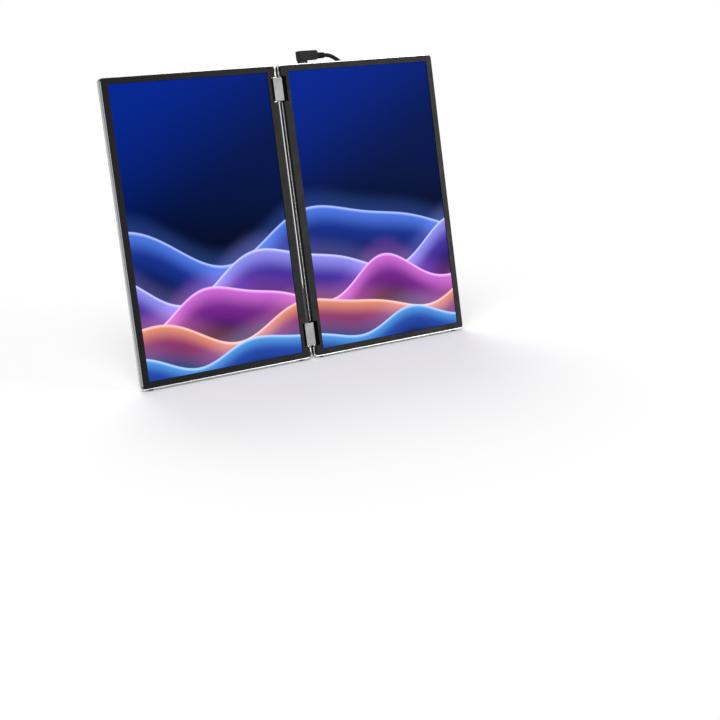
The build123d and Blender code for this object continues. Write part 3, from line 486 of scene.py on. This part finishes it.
def build_tie(material):
    """Strap round the coil, as a band of constant thickness with a free tail on top."""
    low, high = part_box("usb_lead_tie")
    inset = Vector((STRAP_THICKNESS, 0, STRAP_THICKNESS))
    line = strap_line(low + inset, high - inset, STRAP_CORNER)
    first, way = line[0]
    tail = first - Vector(((high.x - low.x) * STRAP_OVERLAP, 0, 0))
    lift = Vector((0, 0, STRAP_LIFT))
    step = Vector((STRAP_STEP, 0, 0))
    line = line + [(first + step, way), (first + lift, way), (tail + lift, way)]
    corners = []
    for point, way in line:
        for y in (low.y, high.y):
            for out in (0.0, STRAP_THICKNESS):
                spot = point + way * out
                corners.append((spot.x, y, spot.z))
    faces = []
    for index in range(len(line) - 1):
        a, b = 4 * index, 4 * index + 4
        faces += [(a, a + 1, b + 1, b), (a + 3, a + 2, b + 2, b + 3)]
        faces += [(a + 1, a + 3, b + 3, b + 1), (a + 2, a, b, b + 2)]
    last = 4 * len(line) - 4
    faces += [(0, 2, 3, 1), (last, last + 1, last + 3, last + 2)]
    mesh = bpy.data.meshes.new("lead_strap")
    mesh.from_pydata(corners, [], faces)
    uv = mesh.uv_layers.new(name="strap")
    for loop in mesh.loops:
        index = loop.vertex_index
        uv.data[loop.index].uv = (index // 4 * STRAP_UV[0], (index % 4) // 2 * STRAP_UV[1])
    mesh.validate()
    strap = bpy.data.objects.new("lead_strap", mesh)
    scene.collection.objects.link(strap)
    strap.data.materials.append(material)
    return strap


# Contacts of the open sockets, in the panel's own frame. Rows are count, pitch, width and length.

CONTACT_THICKNESS = 0.0001
SOCKET_Y = 0.00088
CONTACT_SETS = (
    # name, height, tongue's thickness, middle behind the mouth, row
    ("usb_contacts", 0.25198, 0.0007, -0.0045, (12, 0.0005, 0.00028, 0.0045)),
    ("hdmi_contacts", 0.22898, 0.0008, -0.0042, (10, 0.0008, 0.0004, 0.0038)),
)


def contact_row_tree():
    """Geometry nodes: a row of flat contacts, centred, that run along Z."""
    tree = bpy.data.node_groups.new("contact_row", "GeometryNodeTree")
    tree.interface.new_socket(name="Count", in_out="INPUT", socket_type="NodeSocketInt")
    for name in ("Pitch", "Width", "Thickness", "Length"):
        tree.interface.new_socket(name=name, in_out="INPUT", socket_type="NodeSocketFloat")
    tree.interface.new_socket(name="Plating", in_out="INPUT", socket_type="NodeSocketMaterial")
    tree.interface.new_socket(name="Geometry", in_out="OUTPUT", socket_type="NodeSocketGeometry")
    given = place(tree, "NodeGroupInput").outputs
    spans = calc(tree, "SUBTRACT", given["Count"], 1.0)
    start = calc(tree, "MULTIPLY", calc(tree, "MULTIPLY", spans, given["Pitch"]), -0.5)
    first = place(tree, "ShaderNodeCombineXYZ", {"X": start}).outputs[0]
    step = place(tree, "ShaderNodeCombineXYZ", {"X": given["Pitch"]}).outputs[0]
    row = place(tree, "GeometryNodeMeshLine", {
        "Count": given["Count"], "Start Location": first, "Offset": step,
    }, mode="OFFSET")
    size = place(tree, "ShaderNodeCombineXYZ", {
        "X": given["Width"], "Y": given["Thickness"], "Z": given["Length"],
    }).outputs[0]
    contact = place(tree, "GeometryNodeMeshCube", {"Size": size})
    copies = place(tree, "GeometryNodeInstanceOnPoints", {
        "Points": row.outputs["Mesh"], "Instance": contact.outputs["Mesh"],
    })
    real = place(tree, "GeometryNodeRealizeInstances", {"Geometry": copies.outputs["Instances"]})
    plated = place(tree, "GeometryNodeSetMaterial", {
        "Geometry": real.outputs["Geometry"], "Material": given["Plating"],
    })
    place(tree, "NodeGroupOutput", {"Geometry": plated.outputs["Geometry"]})
    return tree


def grown(name, tree, values):
    """Plain mesh made by a geometry nodes tree with the given inputs."""
    seed = bpy.data.objects.new(name, bpy.data.meshes.new(name + "_seed"))
    scene.collection.objects.link(seed)
    modifier = seed.modifiers.new("grow", "NODES")
    modifier.node_group = tree
    inputs = [item for item in tree.interface.items_tree if item.in_out == "INPUT"]
    for item in inputs:
        modifier[item.identifier] = values[item.name]
    evaluated = seed.evaluated_get(bpy.context.evaluated_depsgraph_get())
    mesh = bpy.data.meshes.new_from_object(evaluated)
    bpy.data.objects.remove(seed)
    return mesh


def build_contacts(tree, name, spot, tongue, back, row):
    """Contacts on both faces of a tongue; spot is the socket's mouth on the panel's right edge."""
    mouth = PANEL @ Matrix.Translation(spot) @ Matrix.Rotation(math.radians(90), 4, "Y")
    joined = bpy.data.meshes.new(name)
    corners = []
    faces = []
    for side in (-1, 1):
        mesh = grown(name, tree, row)
        mesh.transform(mouth @ Matrix.Translation((0, side * tongue / 2, back)))
        base = len(corners)
        corners += [tuple(vertex.co) for vertex in mesh.vertices]
        faces += [tuple(base + index for index in face.vertices) for face in mesh.polygons]
        bpy.data.meshes.remove(mesh)
    joined.from_pydata(corners, [], faces)
    joined.materials.append(row["Plating"])
    contacts = bpy.data.objects.new(name, joined)
    scene.collection.objects.link(contacts)
    return contacts


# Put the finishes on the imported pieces

cover_silver = panel_metal("cover_silver", (0.50, 0.505, 0.515), 0.36)
hinge_silver = link_metal("hinge_silver", (0.205, 0.205, 0.205), 0.5)
stand_silver = blasted_metal("stand_silver", (0.46, 0.465, 0.475), 0.38)
button_silver = blasted_metal("button_silver", (0.36, 0.36, 0.37), 0.35)
# The bezel's outer side carries a painted highlight in silver metal
bezel_black = bezel_plastic("bezel_black", (0.003, 0.003, 0.003), 0.35, side_highlight=(0.56, 0.56, 0.57))
pocket_black = moulded_plastic("pocket_black", (0.006, 0.006, 0.006), 0.6)
plug_black = moulded_plastic("plug_black", (0.009, 0.009, 0.009), 0.55, size=0.0005, depth=0.25)
relief_black = moulded_plastic(
    "relief_black", (0.003, 0.003, 0.003), 0.6, size=0.0005, depth=0.25,
)
switch_black = moulded_plastic("switch_black", (0.015, 0.015, 0.015), 0.5)
foot_rubber = moulded_plastic("foot_rubber", (0.02, 0.02, 0.02), 0.8, size=0.0006, depth=0.3)
flex_film = moulded_plastic("flex_film", (0.30, 0.14, 0.03), 0.35, size=0.002, depth=0.05)
bracket_steel = drawn_metal("bracket_steel", (0.42, 0.42, 0.43), 0.4)
shaft_steel = drawn_metal("shaft_steel", (0.56, 0.56, 0.57), 0.22, stretch=(40, 40, 1))
socket_steel = drawn_metal("socket_steel", (0.48, 0.48, 0.48), 0.3)
plug_steel = drawn_metal("plug_steel", (0.60, 0.60, 0.61), 0.25)
screw_steel = drawn_metal("screw_steel", (0.25, 0.25, 0.26), 0.3)
back_steel = drawn_metal("back_steel", (0.45, 0.45, 0.46), 0.4)
bush_brass = drawn_metal("bush_brass", (0.65, 0.47, 0.2), 0.3)
insert_brass = drawn_metal("insert_brass", (0.66, 0.49, 0.22), 0.28)
contact_gold = drawn_metal("contact_gold", (0.85, 0.62, 0.25), 0.25)
board_green = solder_mask("board_green")
jacket_black = lead_jacket("jacket_black")
strap_black = woven_strap("strap_black")
swell = light_swell()
left_picture = lit_screen("left_picture", -LIT_FAR, swell)
right_picture = lit_screen("right_picture", LIT_NEAR_HINGE, swell)

PANEL_FINISHES = {
    "rear_cover": cover_silver, "bezel": bezel_black, "screen_backplate": back_steel,
    "hinge_pockets": pocket_black, "hinge_brackets": bracket_steel, "hinge_shafts": shaft_steel,
    "bracket_screws": screw_steel, "edge_feet": foot_rubber, "display_flex": flex_film,
}
finishes = {
    f"{side}_{name}": made
    for side in ("left", "right") for name, made in PANEL_FINISHES.items()
}
finishes.update({
    "left_screen": left_picture, "right_screen": right_picture,
    "upper_hinge_cover": hinge_silver, "lower_hinge_cover": hinge_silver,
    "hinge_friction_bushes": bush_brass,
    "main_board": board_green, "side_board": board_green, "driver_board": board_green,
    "main_board_shield": socket_steel, "board_screws": screw_steel,
    "driver_board_screws": screw_steel, "usb_c_sockets": socket_steel,
    "mini_hdmi_socket": socket_steel, "button_switches": switch_black,
    "power_button": button_silver, "menu_button": button_silver, "tripod_insert": insert_brass,
    "kickstand_plate": stand_silver, "kickstand_foot": foot_rubber,
    "kickstand_hinge_leaves": bracket_steel, "kickstand_pins": shaft_steel,
    "usb_plug_tip": plug_steel, "far_plug_tip": plug_steel,
    "usb_plug_body": plug_black, "far_plug_body": plug_black,
    "usb_plug_strain_relief": relief_black, "far_plug_strain_relief": relief_black,
})
for name, made in finishes.items():
    nodes[name].data.materials.clear()
    nodes[name].data.materials.append(made)

# Put the lead and its tie in place of the solid ones
lead = build_lead(jacket_black)
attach(lead, "right_panel")
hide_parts("usb_lead_run", "usb_lead_coil")
strap = build_tie(strap_black)
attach(strap, "right_panel")
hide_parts("usb_lead_tie")
on_lead = ["usb_plug_tip", "usb_plug_body", "usb_plug_strain_relief"]
on_lead += ["far_plug_strain_relief", "far_plug_body", "far_plug_tip"]

# Contacts in the sockets of the right edge
row_tree = contact_row_tree()
edge_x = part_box("right_rear_cover")[1].x
for name, height, tongue, back, (count, pitch, width, length) in CONTACT_SETS:
    row = {
        "Count": count, "Pitch": pitch, "Width": width, "Thickness": CONTACT_THICKNESS,
        "Length": length, "Plating": contact_gold,
    }
    mouth = Vector((edge_x, SOCKET_Y, height))
    contacts = build_contacts(row_tree, name, mouth, tongue, back, row)
    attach(contacts, "right_panel")

# Stage: pale floor that fades into white, soft light and the photograph's camera

WHITE = (1, 1, 1, 1)
FLOOR_HALF = 6.0
FLOOR_FADE = (0.25, 0.65)
WORLD_LIGHT = 0.42
LAMP_AIM = Vector((0, 0, 0.15))
LAMPS = (
    # name, place, size, power
    ("key", (-1.0, -0.9, 2.3), 1.4, 32.0),
    ("fill", (1.454, -1.556, 0.485), 1.0, 22.0),
    ("back", (0.4, 1.6, 1.6), 1.4, 20.0),
)
SENSOR_WIDTH = 36.0
LENS = 80.04
CAMERA_SPOT = Vector((-0.95032, -1.42486, 0.48274))
CAMERA_RIGHT = Vector((0.80737, -0.59004, -0.00012))
CAMERA_AHEAD = Vector((0.56695, 0.77584, -0.27684))
CAMERA_SHIFT = 0.0003


def seen_directly(tree):
    """1 for rays from the camera, off mirrors and through glass: these see plain white."""
    ray = place(tree, "ShaderNodeLightPath").outputs
    mirrored = calc(tree, "MAXIMUM", ray["Is Glossy Ray"], ray["Is Transmission Ray"])
    return calc(tree, "MAXIMUM", ray["Is Camera Ray"], mirrored)


def build_floor():
    """Floor that takes shadows near the monitor and is plain white further off."""
    mesh = bpy.data.meshes.new("floor")
    ways = ((-1, -1), (1, -1), (1, 1), (-1, 1))
    corners = [(x * FLOOR_HALF, y * FLOOR_HALF, 0) for x, y in ways]
    mesh.from_pydata(corners, [], [(0, 1, 2, 3)])
    floor = bpy.data.objects.new("floor", mesh)
    scene.collection.objects.link(floor)
    material, tree, shader = finish("floor_white", (0.92, 0.92, 0.92), 0.9, Specular_IOR_Level=0.1)
    distance = place(tree, "ShaderNodeVectorMath", {0: surface_place(tree)}, operation="LENGTH")
    far = fade(tree, distance.outputs["Value"], *FLOOR_FADE)
    away = calc(tree, "MULTIPLY", far, seen_directly(tree))
    paper = place(tree, "ShaderNodeEmission", {"Color": WHITE, "Strength": 1.0})
    both = place(tree, "ShaderNodeMixShader", {0: away, 1: shader.outputs[0], 2: paper.outputs[0]})
    tree.links.new(both.outputs[0], tree.nodes["Material Output"].inputs["Surface"])
    mesh.materials.append(material)


def build_lamp(name, spot, size, power):
    """Square area lamp turned to the monitor."""
    data = bpy.data.lights.new(name, "AREA")
    data.shape = "SQUARE"
    data.size = size
    data.energy = power
    lamp = bpy.data.objects.new(name, data)
    lamp.location = spot
    lamp.rotation_euler = (LAMP_AIM - Vector(spot)).to_track_quat("-Z", "Y").to_euler()
    scene.collection.objects.link(lamp)


def build_world():
    """Soft white light all round, seen as plain white."""
    world = bpy.data.worlds.new("studio")
    world.use_nodes = True
    scene.world = world
    tree = world.node_tree
    tree.nodes.clear()
    soft = place(tree, "ShaderNodeBackground", {"Color": WHITE, "Strength": WORLD_LIGHT})
    plain = place(tree, "ShaderNodeBackground", {"Color": WHITE, "Strength": 1.0})
    both = place(tree, "ShaderNodeMixShader", {
        0: seen_directly(tree), 1: soft.outputs[0], 2: plain.outputs[0],
    })
    place(tree, "ShaderNodeOutputWorld", {"Surface": both.outputs[0]})


def build_camera():
    """Camera fitted to the photograph."""
    data = bpy.data.cameras.new("photo_camera")
    data.sensor_width = SENSOR_WIDTH
    data.lens = LENS
    camera = bpy.data.objects.new("photo_camera", data)
    right = CAMERA_RIGHT.normalized()
    ahead = CAMERA_AHEAD.normalized()
    up = right.cross(ahead).normalized()
    turn = Matrix((right, up, -ahead)).transposed().to_4x4()
    spot = CAMERA_SPOT - right * CAMERA_SHIFT + up * CAMERA_SHIFT
    camera.matrix_world = Matrix.Translation(spot) @ turn
    scene.collection.objects.link(camera)
    scene.camera = camera


build_floor()
for name, spot, size, power in LAMPS:
    build_lamp(name, spot, size, power)
build_world()
build_camera()
